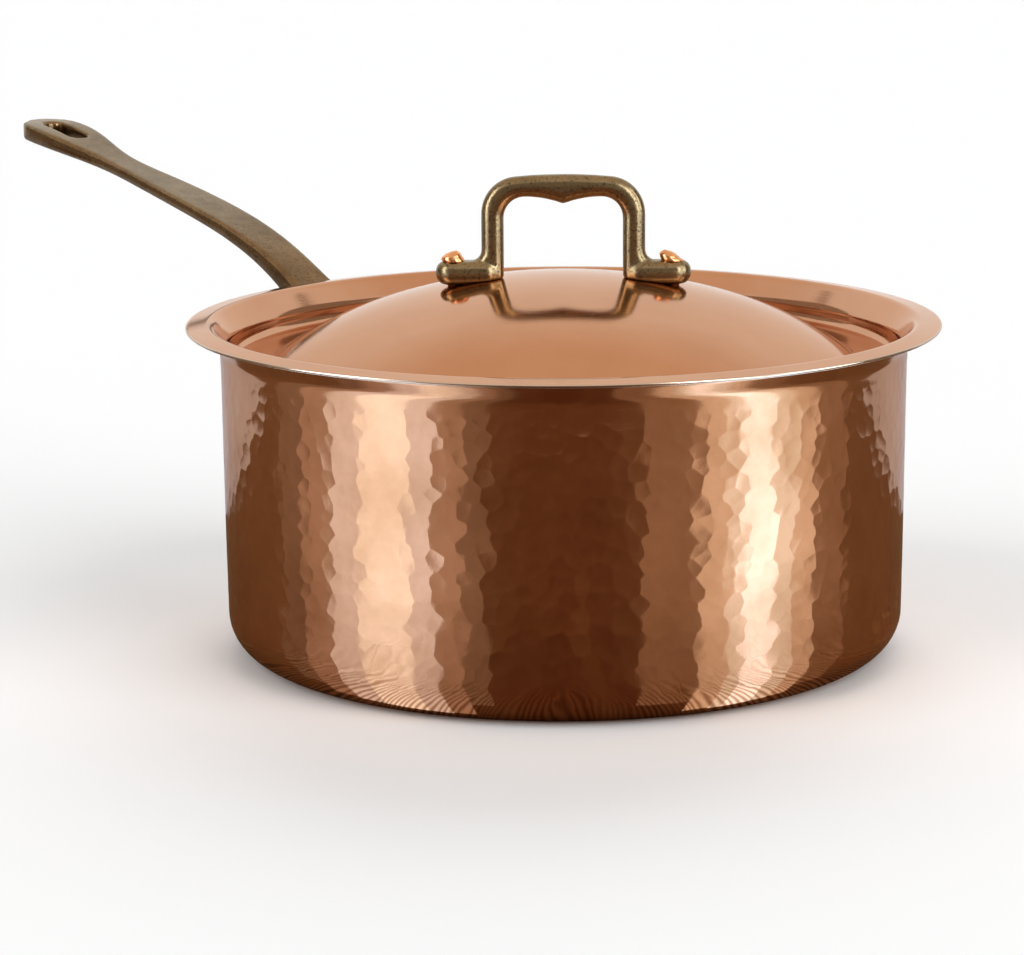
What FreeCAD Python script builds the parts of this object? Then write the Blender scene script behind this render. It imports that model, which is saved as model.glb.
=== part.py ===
import FreeCAD, Part
import math
import os
import Sketcher

# A hammered copper saucepan with a loose lid. Millimetres, +Z up.
# The origin is the centre of the base, where the pan stands. +X points along the long handle.

V = FreeCAD.Vector
Rule = Sketcher.Constraint
START, END, CENTRE = range(1, 4)

# Two lengths nearer to each other than this count as the same.
NEAR = 1e-6

SIZES = {
    # The pan: sheet copper, tinned inside, with a short flared lip.
    "pot_radius": 120.0,
    "pot_taper": 0.8,
    "pot_height": 114.6,
    "pot_bend": 15.0,
    "pot_sheet": 1.2,
    "lip_height": 6.3,
    "lip_flare": 4.6,
    "tin_layer": 0.2,
    # The lid: thinner sheet, nested in the lip, with a wide flange, a ring groove and a dome.
    "lid_sheet": 1.0,
    "lid_overhang": 11.8,
    "lid_seat_gap": 0.3,
    "lid_neck_gap": 0.3,
    "lid_crest_bend": 3.2,
    "lid_edge_drop": 0.9,
    "lid_plug_bend": 3.0,
    "lid_plug_depth": 11.3,
    "groove_width": 18.5,
    "dome_foot_rise": 0.6,
    "dome_knee_rise": 20.1,
    "dome_crest_rise": 28.5,
    "lid_turn": 47.0,
    # The long handle: cast, riveted to the wall through a curved plate.
    "plate_sheet": 4.0,
    "plate_width": 64.0,
    "plate_height": 44.0,
    "plate_drop": 24.3,
    "plate_corner": 14.0,
    "plate_gap": 0.05,
    "handle_reach": 195.5,
    "handle_drop": 9.3,
    "handle_rise": 60.0,
    "handle_width": 30.0,
    "handle_depth": 8.0,
    "handle_corner": 1.8,
    "eye_length": 24.0,
    "eye_width": 9.0,
    "eye_margin": 8.0,
    # Rivets through the wall, for the long handle.
    "rivet_radius": 3.5,
    "rivet_fit": 0.05,
    "rivet_head_radius": 6.5,
    "rivet_head_rise": 3.2,
    "rivet_tail_radius": 6.0,
    "rivet_tail_rise": 2.0,
    "rivet_clear": 1.7,
    "rivet_upper_drop": 12.3,
    "rivet_lower_drop": 37.3,
    # The lid's bridge handle: cast, with two feet that follow the dome.
    "bridge_width": 56.6,
    "bridge_bar": 7.3,
    "bridge_edge": 3.1,
    "bridge_rise": 35.0,
    "bridge_crown": 0.8,
    "bridge_bend": 11.5,
    "bridge_hollow": 7.6,
    "bridge_cusp": 2.5,
    "foot_reach": 38.2,
    "foot_tip": 44.3,
    "foot_width": 10.6,
    "foot_edge": 3.2,
    "foot_rise": 4.9,
    "foot_drop": 3.0,
    "foot_root": 4.0,
    "foot_lead": 1.0,
    "foot_gap": 0.05,
    # Rivets through the lid.
    "lid_rivet_radius": 2.4,
    "lid_rivet_head_radius": 3.9,
    "lid_rivet_head_rise": 3.4,
    "lid_rivet_tail_radius": 4.6,
    "lid_rivet_tail_rise": 1.4,
    # One overrun serves every cut.
    "overrun": 20.0,
}

# The long handle's cross-sections, from the plate to the tip.
# Each row: way along the reach, height gained, width and depth, as shares of those sizes.
HANDLE_SHARES = (
    (-0.01, -0.010, 0.92, 1.70),
    (0.07, 0.158, 0.67, 1.25),
    (0.15, 0.323, 0.62, 0.96),
    (0.25, 0.475, 0.645, 0.74),
    (0.42, 0.640, 0.665, 0.60),
    (0.58, 0.757, 0.575, 0.57),
    (0.73, 0.862, 0.53, 0.62),
    (0.87, 0.970, 0.85, 0.78),
    (0.93, 1.005, 0.88, 0.82),
    (1.00, 1.035, 0.86, 0.76),
)

# Smaller shapes, as shares of the size that each one belongs to.
dome_knee_share = 0.5       # where the dome turns down, of the pan's radius
dome_hollow_share = 3.4    # how far the dome's hollow foot runs out, of its rise
tail_flat_share = 0.8      # flat end of a rivet's tail, of its radius
head_edge_share = 0.2      # upright edge of a rivet's head, of its rise

os.makedirs("parts", exist_ok=True)
doc = FreeCAD.newDocument("Saucepan")

sheet = doc.addObject("Spreadsheet::Sheet", "Sizes")
for row, (alias, value) in enumerate(SIZES.items(), start=1):
    sheet.set(f"A{row}", str(value))
    sheet.setAlias(f"A{row}", alias)
doc.recompute()


def size(rule):
    """The number that an expression on the sheet gives."""
    return float(sheet.evalExpression(rule))


# Expressions that several pieces share.
POT_FOOT = "(Sizes.pot_radius - Sizes.pot_taper)"
LIP_START = "(Sizes.pot_height - Sizes.lip_height)"
LIP_LEAN = "atan(Sizes.lip_flare / Sizes.lip_height)"
POT_SKIN = "(Sizes.pot_sheet + Sizes.tin_layer)"
LID_SKIN = "(Sizes.lid_sheet + Sizes.tin_layer)"
LID_STACK = f"({POT_SKIN} + Sizes.lid_neck_gap + {LID_SKIN})"
PLUG_RADIUS = f"(Sizes.pot_radius - {LID_STACK})"
PLUG_TOP = f"({LIP_START} + {LID_STACK} * tan({LIP_LEAN} / 2))"
LID_CREST = f"(Sizes.pot_height + {POT_SKIN} * sin({LIP_LEAN}) + Sizes.lid_seat_gap + {LID_SKIN})"
NECK_TOP = f"({LID_CREST} - Sizes.lid_crest_bend * (1 - sin({LIP_LEAN})))"
NECK_RADIUS = f"({PLUG_RADIUS} + ({NECK_TOP} - {PLUG_TOP}) * tan({LIP_LEAN}))"
LID_FLOOR = "(Sizes.pot_height - Sizes.lid_plug_depth)"
DOME_TOP = f"({LID_FLOOR} + Sizes.dome_crest_rise)"
DOME_FOOT = "(Sizes.pot_radius - Sizes.groove_width)"
KNEE_RADIUS = f"(Sizes.pot_radius * {dome_knee_share})"
KNEE_DROP = "(Sizes.dome_crest_rise - Sizes.dome_knee_rise)"
DOME_RADIUS = f"(({KNEE_RADIUS} ^ 2 + {KNEE_DROP} ^ 2) / (2 * {KNEE_DROP}))"
PLATE_INSIDE = "(Sizes.pot_radius + Sizes.plate_gap)"
PLATE_OUTSIDE = f"({PLATE_INSIDE} + Sizes.plate_sheet)"
PLATE_MIDDLE = f"({LIP_START} - Sizes.plate_drop)"
HANDLE_START = f"({LIP_START} - Sizes.handle_drop)"
RIVET_UPPER = f"({LIP_START} - Sizes.rivet_upper_drop)"
RIVET_LOWER = f"({LIP_START} - Sizes.rivet_lower_drop)"


def bind(thing, rules):
    for path, rule in rules.items():
        thing.setExpression(path, rule)


def fix(sketch, kind, geometry, point, rule):
    """Ties one coordinate of a sketch point to the sheet."""
    number = size(rule)
    if abs(number) < NEAR:
        axis = -2 if kind == "DistanceX" else -1
        sketch.addConstraint(Rule("PointOnObject", geometry, point, axis))
        return
    index = sketch.addConstraint(Rule(kind, -1, START, geometry, point, number))
    sketch.setExpression(f"Constraints[{index}]", rule)


def circle_through(first, last, along):
    """The centre of the circle through two points that leaves the first one in the direction along."""
    normal = V(-along.y, along.x, 0)
    chord = last - first
    return first + normal * (chord.dot(chord) / (2 * normal.dot(chord)))


def chain(sketch, start, steps):
    """Draws an outline, one step after the other. It is closed when it comes back to its start.

    A step holds its kind and the rules of its end point, and for a bend the way it is tied down:
    smooth (leaves the last step without a corner), axis or level (its centre is on the upright axis,
    and it meets that axis at its start or at its end), radius.
    A coordinate without a rule is found by the step's ties, from the guess given in its place.
    """
    here = V(size(start[0]), size(start[1]), 0)
    last = None
    heading = V(1, 0, 0)
    for step in steps:
        target = V(*[size(rule.lstrip("~")) for rule in step["to"]], 0)
        if step["kind"] == "line":
            number = sketch.addGeometry(Part.LineSegment(here, target))
            ends = (START, END)
            turned = (target - here).normalize()
        else:
            if step.get("axis"):
                chord = target - here
                centre = V(0, here.y + chord.dot(chord) / (2 * chord.y), 0)
            elif step.get("level"):
                chord = target - here
                centre = V(0, target.y - chord.dot(chord) / (2 * chord.y), 0)
            else:
                centre = circle_through(here, target, heading)
            arm, hand = here - centre, target - centre
            left = arm.cross(hand).z > 0
            angles = [math.atan2(p.y, p.x) for p in ((arm, hand) if left else (hand, arm))]
            base = Part.Circle(centre, V(0, 0, 1), arm.Length)
            number = sketch.addGeometry(Part.ArcOfCircle(base, *angles))
            ends = (START, END) if left else (END, START)
            turned = V(-hand.y, hand.x, 0).normalize() * (1 if left else -1)
        if last is None:
            for kind, rule in zip(("DistanceX", "DistanceY"), start):
                fix(sketch, kind, number, ends[0], rule)
        else:
            tie = "Tangent" if step.get("smooth") else "Coincident"
            sketch.addConstraint(Rule(tie, last[0], last[1], number, ends[0]))
        if step.get("axis") or step.get("level"):
            sketch.addConstraint(Rule("PointOnObject", number, CENTRE, -2))
        if step.get("radius"):
            index = sketch.addConstraint(Rule("Radius", number, size(step["radius"])))
            sketch.setExpression(f"Constraints[{index}]", step["radius"])
        if (target - V(size(start[0]), size(start[1]), 0)).Length > NEAR:
            for kind, rule in zip(("DistanceX", "DistanceY"), step["to"]):
                if not rule.startswith("~"):
                    fix(sketch, kind, number, ends[1], rule)
        last = (number, ends[1])
        here, heading = target, turned
    if (here - V(size(start[0]), size(start[1]), 0)).Length < NEAR:
        sketch.addConstraint(Rule("Coincident", last[0], last[1], 0, START))


def line(x, z, **ties):
    return {"kind": "line", "to": (x, z), **ties}


def bend(x, z, **ties):
    return {"kind": "bend", "to": (x, z), **ties}


def upright_sketch(name):
    """A free sketch whose X is the pan's X and whose Y is the pan's Z."""
    sketch = doc.addObject("Sketcher::SketchObject", name)
    sketch.Placement = FreeCAD.Placement(V(), FreeCAD.Rotation(V(1, 0, 0), 90))
    return sketch


def spun_sheet(name, outline, thickness):
    """A sheet of even thickness behind an outline, spun about the pan's axis."""
    skin = doc.addObject("Part::Offset2D", name + "_section")
    skin.Source = outline
    skin.Mode = "Skin"
    skin.Join = "Intersection"
    skin.Fill = True
    skin.setExpression("Value", thickness)
    spun = doc.addObject("Part::Revolution", name + "_spun")
    spun.Source = skin
    spun.Axis = V(0, 0, 1)
    spun.Base = V()
    spun.Angle = 360
    spun.Solid = True
    return spun


def inner_face(name, outline, depth):
    """The outline moved to the other face of its sheet."""
    face = doc.addObject("Part::Offset2D", name)
    face.Source = outline
    face.Mode = "Skin"
    face.Join = "Intersection"
    face.Fill = False
    face.setExpression("Value", depth)
    return face


def origin_plane(body, role):
    return next(item for item in body.Origin.OriginFeatures if item.Role == role)


def body_sketch(body, name, role, offset=None):
    """A sketch on one of the body's own planes, moved along that plane's normal if offset is given."""
    sketch = body.newObject("Sketcher::SketchObject", name)
    sketch.AttachmentSupport = [(origin_plane(body, role), "")]
    sketch.MapMode = "FlatFace"
    if offset:
        sketch.setExpression("AttachmentOffset.Base.z", offset)
    return sketch


def closed_lines(sketch, corners):
    """A closed outline of straight lines through corners given as pairs of rules."""
    points = [V(size(x), size(y), 0) for x, y in corners]
    numbers = []
    for first, last in zip(points, points[1:] + points[:1]):
        numbers.append(sketch.addGeometry(Part.LineSegment(first, last)))
    for at, number in enumerate(numbers):
        after = numbers[(at + 1) % len(numbers)]
        sketch.addConstraint(Rule("Coincident", number, END, after, START))
    for number, corner in zip(numbers, corners):
        for kind, rule in zip(("DistanceX", "DistanceY"), corner):
            fix(sketch, kind, number, START, rule)


def rounded_box(sketch, width, depth, corner, middle):
    """A rectangle with round corners, centred on the sketch's Y axis at the height middle."""
    half, tall, turn, level = size(width) / 2, size(depth) / 2, size(corner), size(middle)
    spots = []
    for side, up in ((1, -1), (1, 1), (-1, 1), (-1, -1)):
        spots.append(V(side * (half - turn), level + up * (tall - turn), 0))
    arcs, lines = [], []
    for quarter, spot in enumerate(spots):
        begin = (quarter - 1) * math.pi / 2
        round_corner = Part.ArcOfCircle(Part.Circle(spot, V(0, 0, 1), turn), begin, begin + math.pi / 2)
        arcs.append(sketch.addGeometry(round_corner))
    for quarter in range(4):
        first = sketch.getPoint(arcs[quarter], END)
        last = sketch.getPoint(arcs[(quarter + 1) % 4], START)
        lines.append(sketch.addGeometry(Part.LineSegment(first, last)))
    for quarter in range(4):
        sketch.addConstraint(Rule("Tangent", arcs[quarter], END, lines[quarter], START))
        sketch.addConstraint(Rule("Tangent", lines[quarter], END, arcs[(quarter + 1) % 4], START))
        if quarter:
            sketch.addConstraint(Rule("Equal", arcs[0], arcs[quarter]))
    sketch.addConstraint(Rule("Vertical", lines[0]))
    sketch.addConstraint(Rule("Horizontal", lines[1]))
    sketch.addConstraint(Rule("Vertical", lines[2]))
    index = sketch.addConstraint(Rule("Radius", arcs[0], turn))
    sketch.setExpression(f"Constraints[{index}]", corner)
    fix(sketch, "DistanceX", lines[0], START, f"({width}) / 2")
    fix(sketch, "DistanceY", lines[1], START, f"({middle}) + ({depth}) / 2")
    index = sketch.addConstraint(Rule("DistanceX", lines[2], START, lines[0], START, 2 * half))
    sketch.setExpression(f"Constraints[{index}]", width)
    index = sketch.addConstraint(Rule("DistanceY", lines[3], START, lines[1], START, 2 * tall))
    sketch.setExpression(f"Constraints[{index}]", depth)


def slot(sketch, first, last, radius):
    """A slot along the sketch's X axis, between two centres."""
    first, last = sorted((first, last), key=size)
    left, right, turn = size(first), size(last), size(radius)
    low = sketch.addGeometry(Part.LineSegment(V(left, -turn, 0), V(right, -turn, 0)))
    far = Part.ArcOfCircle(Part.Circle(V(right, 0, 0), V(0, 0, 1), turn), -math.pi / 2, math.pi / 2)
    far = sketch.addGeometry(far)
    high = sketch.addGeometry(Part.LineSegment(V(right, turn, 0), V(left, turn, 0)))
    near = Part.ArcOfCircle(Part.Circle(V(left, 0, 0), V(0, 0, 1), turn), math.pi / 2, 3 * math.pi / 2)
    near = sketch.addGeometry(near)
    ring = (low, far, high, near)
    for at, number in enumerate(ring):
        sketch.addConstraint(Rule("Tangent", number, END, ring[(at + 1) % 4], START))
    sketch.addConstraint(Rule("PointOnObject", far, CENTRE, -1))
    sketch.addConstraint(Rule("PointOnObject", near, CENTRE, -1))
    fix(sketch, "DistanceX", near, CENTRE, first)
    fix(sketch, "DistanceX", far, CENTRE, last)
    index = sketch.addConstraint(Rule("Radius", far, turn))
    sketch.setExpression(f"Constraints[{index}]", radius)


def bored(label, base, bores):
    piece = doc.addObject("Part::Cut", label)
    piece.Base = base
    piece.Tool = bores
    return piece


def group(name, members):
    whole = doc.addObject("Part::MultiFuse", name)
    whole.Shapes = members
    return whole


def wall_radius(height):
    """The pan's outer radius at a height on its slightly tapered wall."""
    climb = f"(({height}) - Sizes.pot_bend) / ({LIP_START} - Sizes.pot_bend)"
    return f"({POT_FOOT} + Sizes.pot_taper * {climb})"


# The pan's sheet: a flat base, a rolled bend, a nearly straight wall and the flared lip.

pot_outline = upright_sketch("pot_outline")
chain(pot_outline, ("0", "0"), [
    line(f"~{POT_FOOT} - Sizes.pot_bend", "0"),
    bend(POT_FOOT, "Sizes.pot_bend", smooth=True),
    line("Sizes.pot_radius", LIP_START, smooth=True),
    line("Sizes.pot_radius + Sizes.lip_flare", "Sizes.pot_height"),
])
pot_spun = spun_sheet("pot", pot_outline, "Sizes.pot_sheet")
pot_inside = inner_face("pot_inside", pot_outline, "Sizes.pot_sheet")
pot_tin_spun = spun_sheet("pot_tin", pot_inside, "Sizes.tin_layer")

# The lid's sheet, drawn from the middle of the dome outwards along its upper face.

lid_outline = upright_sketch("lid_outline")
chain(lid_outline, ("0", DOME_TOP), [
    bend(KNEE_RADIUS, f"{LID_FLOOR} + Sizes.dome_knee_rise", axis=True),
    bend(DOME_FOOT, f"{LID_FLOOR} + Sizes.dome_foot_rise", smooth=True),
    bend(f"~{DOME_FOOT} + Sizes.dome_foot_rise * {dome_hollow_share}", LID_FLOOR, smooth=True),
    line(f"{PLUG_RADIUS} - Sizes.lid_plug_bend", LID_FLOOR, smooth=True),
    bend(PLUG_RADIUS, f"{LID_FLOOR} + Sizes.lid_plug_bend", smooth=True),
    line(PLUG_RADIUS, PLUG_TOP),
    line(NECK_RADIUS, NECK_TOP),
    bend(f"~{NECK_RADIUS} + Sizes.lid_crest_bend", f"~{LID_CREST}", smooth=True,
         radius="Sizes.lid_crest_bend"),
    line("Sizes.pot_radius + Sizes.lid_overhang", f"{LID_CREST} - Sizes.lid_edge_drop", smooth=True),
])
lid_spun = spun_sheet("lid", lid_outline, "Sizes.lid_sheet")
lid_under = inner_face("lid_under", lid_outline, "Sizes.lid_sheet")
lid_tin_spun = spun_sheet("lid_tin", lid_under, "Sizes.tin_layer")

# The rivet places on the wall: one on each side of the handle's root, and one below it.
# Each is a height and a sideways angle.

ROOT_SIDE = f"(Sizes.handle_width * {HANDLE_SHARES[0][2]} / 2)"
UPPER_ANGLE = f"asin(({ROOT_SIDE} + Sizes.rivet_clear + Sizes.rivet_head_radius) / Sizes.pot_radius)"
WALL_RIVETS = {
    "pot_rivet_upper_left": (RIVET_UPPER, f"({UPPER_ANGLE})"),
    "pot_rivet_upper_right": (RIVET_UPPER, f"(-({UPPER_ANGLE}))"),
    "pot_rivet_lower": (RIVET_LOWER, "(0 deg)"),
}


def rivet(label, radius, head, rise, grip, tail, tail_rise):
    """A rivet along its own Z: the tail below zero, the shank over the grip, the domed head above."""
    body = doc.addObject("PartDesign::Body", label)
    section = body_sketch(body, label + "_section", "XZ_Plane")
    chain(section, ("0", f"-({tail_rise})"), [
        line(f"({tail}) * {tail_flat_share}", f"-({tail_rise})"),
        line(tail, f"-({tail_rise}) / 2"),
        line(tail, "0"),
        line(radius, "0"),
        line(radius, grip),
        line(head, grip),
        line(head, f"{grip} + ({rise}) * {head_edge_share}"),
        bend("0", f"{grip} + {rise}", level=True),
        line("0", f"-({tail_rise})"),
    ])
    spin = body.newObject("PartDesign::Revolution", label + "_turned")
    spin.Profile = section
    spin.ReferenceAxis = (section, ["V_Axis"])
    spin.Angle = 360
    return body


bores = []
rivets = {}
for label, (height, angle) in WALL_RIVETS.items():
    ray = V(math.cos(math.radians(size(angle))), math.sin(math.radians(size(angle))), 0)
    turn = FreeCAD.Rotation(V(0, 0, 1), ray)
    hole = doc.addObject("Part::Cylinder", label + "_bore")
    hole.Placement = FreeCAD.Placement(V(), turn)
    bind(hole, {
        "Radius": "Sizes.rivet_radius + Sizes.rivet_fit",
        "Height": "Sizes.overrun * 2",
        "Placement.Base.x": f"(Sizes.pot_radius - Sizes.overrun) * cos({angle})",
        "Placement.Base.y": f"(Sizes.pot_radius - Sizes.overrun) * sin({angle})",
        "Placement.Base.z": height,
    })
    bores.append(hole)
    lowest = wall_radius(f"{height} - Sizes.rivet_tail_radius")
    seat = f"sqrt(({lowest} - {POT_SKIN}) ^ 2 - Sizes.rivet_tail_radius ^ 2)"
    body = rivet(label, "Sizes.rivet_radius", "Sizes.rivet_head_radius", "Sizes.rivet_head_rise",
                 f"({PLATE_OUTSIDE} - {seat})", "Sizes.rivet_tail_radius", "Sizes.rivet_tail_rise")
    body.Placement = FreeCAD.Placement(V(), turn)
    bind(body, {
        "Placement.Base.x": f"{seat} * cos({angle})",
        "Placement.Base.y": f"{seat} * sin({angle})",
        "Placement.Base.z": height,
    })
    rivets[label] = body
wall_bores = group("wall_bores", bores)

# The long handle: a curved plate against the wall, and a bar that rises from it and ends in a rounded eye.

casting = doc.addObject("PartDesign::Body", "pot_handle_casting")
plate_section = body_sketch(casting, "plate_section", "XZ_Plane")
plate_low = f"({PLATE_MIDDLE} - Sizes.plate_height / 2)"
plate_high = f"({PLATE_MIDDLE} + Sizes.plate_height / 2)"
closed_lines(plate_section, [
    (PLATE_INSIDE, plate_low),
    (PLATE_OUTSIDE, plate_low),
    (PLATE_OUTSIDE, plate_high),
    (PLATE_INSIDE, plate_high),
])
plate = casting.newObject("PartDesign::Revolution", "plate")
plate.Profile = plate_section
plate.ReferenceAxis = (plate_section, ["V_Axis"])
plate.Midplane = True
plate.setExpression("Angle", "2 * asin(Sizes.plate_width / 2 / Sizes.pot_radius)")
doc.recompute()

corners = []
for number, edge in enumerate(plate.Shape.Edges, start=1):
    across = edge.lastVertex().Point - edge.firstVertex().Point
    if abs(across.z) < NEAR and abs(edge.Length - size("Sizes.plate_sheet")) < NEAR:
        corners.append(f"Edge{number}")
rounding = casting.newObject("PartDesign::Fillet", "plate_corners")
rounding.Base = (plate, corners)
rounding.setExpression("Radius", "Sizes.plate_corner")

stations = []
for place, (run, rise, width, depth) in enumerate(HANDLE_SHARES):
    station = body_sketch(casting, f"handle_section_{place}", "YZ_Plane",
                          f"{PLATE_OUTSIDE} + Sizes.handle_reach * {run}")
    rounded_box(station, f"Sizes.handle_width * {width}", f"Sizes.handle_depth * {depth}",
                "Sizes.handle_corner", f"{HANDLE_START} + Sizes.handle_rise * {rise}")
    stations.append(station)
bar = casting.newObject("PartDesign::AdditiveLoft", "handle_bar")
bar.Profile = stations[0]
bar.Sections = stations[1:]
doc.recompute()

HANDLE_TIP = f"({PLATE_OUTSIDE} + Sizes.handle_reach)"
TIP_RADIUS = f"(Sizes.handle_width * {HANDLE_SHARES[-1][2]} / 2)"
beyond = f"({TIP_RADIUS} + Sizes.overrun)"
tip_cut = body_sketch(casting, "tip_cut", "XY_Plane")
chain(tip_cut, (f"{HANDLE_TIP} - {TIP_RADIUS}", f"-{TIP_RADIUS}"), [
    bend(HANDLE_TIP, "0"),
    bend(f"{HANDLE_TIP} - {TIP_RADIUS}", TIP_RADIUS, smooth=True),
    line(f"{HANDLE_TIP} - {TIP_RADIUS}", beyond),
    line(f"{HANDLE_TIP} + Sizes.overrun", beyond),
    line(f"{HANDLE_TIP} + Sizes.overrun", f"-{beyond}"),
    line(f"{HANDLE_TIP} - {TIP_RADIUS}", f"-{beyond}"),
    line(f"{HANDLE_TIP} - {TIP_RADIUS}", f"-{TIP_RADIUS}"),
])
trim = casting.newObject("PartDesign::Pocket", "tip_trim")
trim.Profile = tip_cut
trim.Type = "ThroughAll"
trim.Midplane = True

eye_far = f"({HANDLE_TIP} - Sizes.eye_margin - Sizes.eye_width / 2)"
eye_near = f"({HANDLE_TIP} - Sizes.eye_margin - Sizes.eye_length + Sizes.eye_width / 2)"
eye_cut = body_sketch(casting, "eye_cut", "XY_Plane")
slot(eye_cut, eye_near, eye_far, "Sizes.eye_width / 2")
eye = casting.newObject("PartDesign::Pocket", "hanging_eye")
eye.Profile = eye_cut
eye.Type = "ThroughAll"
eye.Midplane = True

# The lid handle, drawn along X: a bar bent into an arch, with two hollows and a point between them under its
# middle, and two round feet. One half is drawn and rounded, and the other mirrors it.

ARCH = "(Sizes.bridge_width / 2)"
ARCH_INSIDE = f"({ARCH} - Sizes.bridge_bar)"
ARCH_TOP = f"({DOME_TOP} + Sizes.bridge_rise)"
ARCH_HOLLOW = f"({ARCH_TOP} - Sizes.bridge_bar)"
FOOT_TOP = f"({DOME_TOP} + Sizes.foot_rise)"
FOOT_BASE = f"({DOME_TOP} - Sizes.foot_drop)"


def rounded(body, pad, radius, kept):
    """Rounds the edges of a pad that the test keeps."""
    doc.recompute()
    names = [f"Edge{at}" for at, edge in enumerate(pad.Shape.Edges, start=1) if kept(edge.CenterOfMass)]
    softened = body.newObject("PartDesign::Fillet", pad.Name + "_edges")
    softened.Base = (pad, names)
    softened.setExpression("Radius", radius)
    return softened


half_arch = doc.addObject("PartDesign::Body", "bridge_half")
profile = body_sketch(half_arch, "bridge_profile", "XZ_Plane")
chain(profile, (ARCH_INSIDE, FOOT_BASE), [
    line(ARCH_INSIDE, f"{ARCH_HOLLOW} - Sizes.bridge_hollow"),
    bend(f"{ARCH_INSIDE} - Sizes.bridge_hollow", ARCH_HOLLOW, smooth=True),
    bend("0", f"{ARCH_HOLLOW} - Sizes.bridge_cusp", smooth=True),
    line("0", ARCH_TOP),
    bend(f"{ARCH} - Sizes.bridge_bend", f"{ARCH_TOP} - Sizes.bridge_crown", axis=True),
    bend(ARCH, f"~{ARCH_TOP} - Sizes.bridge_crown - Sizes.bridge_bend * 1.1", smooth=True),
    line(ARCH, f"{FOOT_TOP} + Sizes.foot_root", smooth=True),
    bend(f"{ARCH} + Sizes.foot_root", FOOT_TOP, smooth=True),
    line("Sizes.foot_tip - Sizes.foot_width / 2", FOOT_TOP),
    line("Sizes.foot_tip - Sizes.foot_width / 2", FOOT_BASE),
    line(ARCH_INSIDE, FOOT_BASE),
])
arch = half_arch.newObject("PartDesign::Pad", "bridge_arch")
arch.Profile = profile
arch.Midplane = True
arch.setExpression("Length", "Sizes.bridge_bar")
rounded(half_arch, arch, "Sizes.bridge_edge", lambda middle: abs(middle.y) > NEAR and abs(middle.x) > NEAR)

half_foot = doc.addObject("PartDesign::Body", "bridge_foot")
foot_plan = body_sketch(half_foot, "foot_plan", "XY_Plane", FOOT_BASE)
foot_near = f"({ARCH_INSIDE} + Sizes.foot_lead + Sizes.foot_width / 2)"
slot(foot_plan, foot_near, "Sizes.foot_tip - Sizes.foot_width / 2", "Sizes.foot_width / 2")
foot = half_foot.newObject("PartDesign::Pad", "foot")
foot.Profile = foot_plan
foot.setExpression("Length", f"{FOOT_TOP} - {FOOT_BASE}")
foot_middle = size(f"({FOOT_TOP} + {FOOT_BASE}) / 2")
rounded(half_foot, foot, "Sizes.foot_edge", lambda middle: abs(middle.z - foot_middle) > NEAR)

bridge_half = group("bridge_right", [half_arch, half_foot])
bridge_mirror = doc.addObject("Part::Mirroring", "bridge_left")
bridge_mirror.Source = bridge_half
bridge_mirror.Normal = V(1, 0, 0)
bridge = group("bridge", [bridge_half, bridge_mirror])
bridge.Refine = True

# The feet are hollowed to the dome, and the rivets pass straight down through foot, copper and tin.

dome_ball = doc.addObject("Part::Sphere", "dome_ball")
bind(dome_ball, {
    "Radius": f"{DOME_RADIUS} + Sizes.foot_gap",
    "Placement.Base.z": f"{DOME_TOP} - {DOME_RADIUS}",
})
seated = bored("lid_handle_seated", bridge, dome_ball)

tail_reach = "(Sizes.foot_reach + Sizes.lid_rivet_tail_radius)"
seat_drop = f"sqrt(({DOME_RADIUS} - {LID_SKIN}) ^ 2 - {tail_reach} ^ 2)"
rivet_seat = f"({DOME_TOP} - {DOME_RADIUS} + {seat_drop})"
lid_holes = []
for side, sign in (("left", "-"), ("right", "")):
    spot = {
        "Placement.Base.x": f"{sign}Sizes.foot_reach * cos(Sizes.lid_turn)",
        "Placement.Base.y": f"{sign}Sizes.foot_reach * sin(Sizes.lid_turn)",
    }
    hole = doc.addObject("Part::Cylinder", f"lid_rivet_{side}_bore")
    bind(hole, {
        "Radius": "Sizes.lid_rivet_radius + Sizes.rivet_fit",
        "Height": "Sizes.overrun * 2",
        "Placement.Base.z": f"{DOME_TOP} - Sizes.overrun",
        **spot,
    })
    lid_holes.append(hole)
    body = rivet(f"lid_rivet_{side}", "Sizes.lid_rivet_radius", "Sizes.lid_rivet_head_radius",
                 "Sizes.lid_rivet_head_rise", f"({FOOT_TOP} - {rivet_seat})",
                 "Sizes.lid_rivet_tail_radius", "Sizes.lid_rivet_tail_rise")
    bind(body, {"Placement.Base.z": rivet_seat, **spot})
    rivets[f"lid_rivet_{side}"] = body
lid_bores = group("lid_bores", lid_holes)
seated.Placement = FreeCAD.Placement(V(), FreeCAD.Rotation(V(0, 0, 1), size("Sizes.lid_turn")))
seated.setExpression("Placement.Rotation.Angle", "Sizes.lid_turn")

pieces = {
    "pot_body": bored("pot_body", pot_spun, wall_bores),
    "pot_lining": bored("pot_lining", pot_tin_spun, wall_bores),
    "pot_handle": bored("pot_handle", casting, wall_bores),
    "lid_body": bored("lid_body", lid_spun, lid_bores),
    "lid_lining": bored("lid_lining", lid_tin_spun, lid_bores),
    "lid_handle": bored("lid_handle", seated, lid_bores),
    **rivets,
}
doc.recompute()

for thing in doc.Objects:
    if "Invalid" in thing.State or "Error" in thing.State:
        raise RuntimeError(f"{thing.Label} was not made: {thing.State}")
for label, piece in pieces.items():
    shape = piece.Shape
    if shape.isNull() or not shape.isValid() or shape.Volume <= 0:
        raise RuntimeError(f"{label} has no valid shape")
    shape.exportStep(f"parts/{label}.step")
    box = shape.BoundBox
    spans = [f"{v:.2f}" for v in (box.XMin, box.XMax, box.YMin, box.YMax, box.ZMin, box.ZMax)]
    print(label, len(shape.Solids), f"{shape.Volume:.1f}", *spans)
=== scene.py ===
import math

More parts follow.
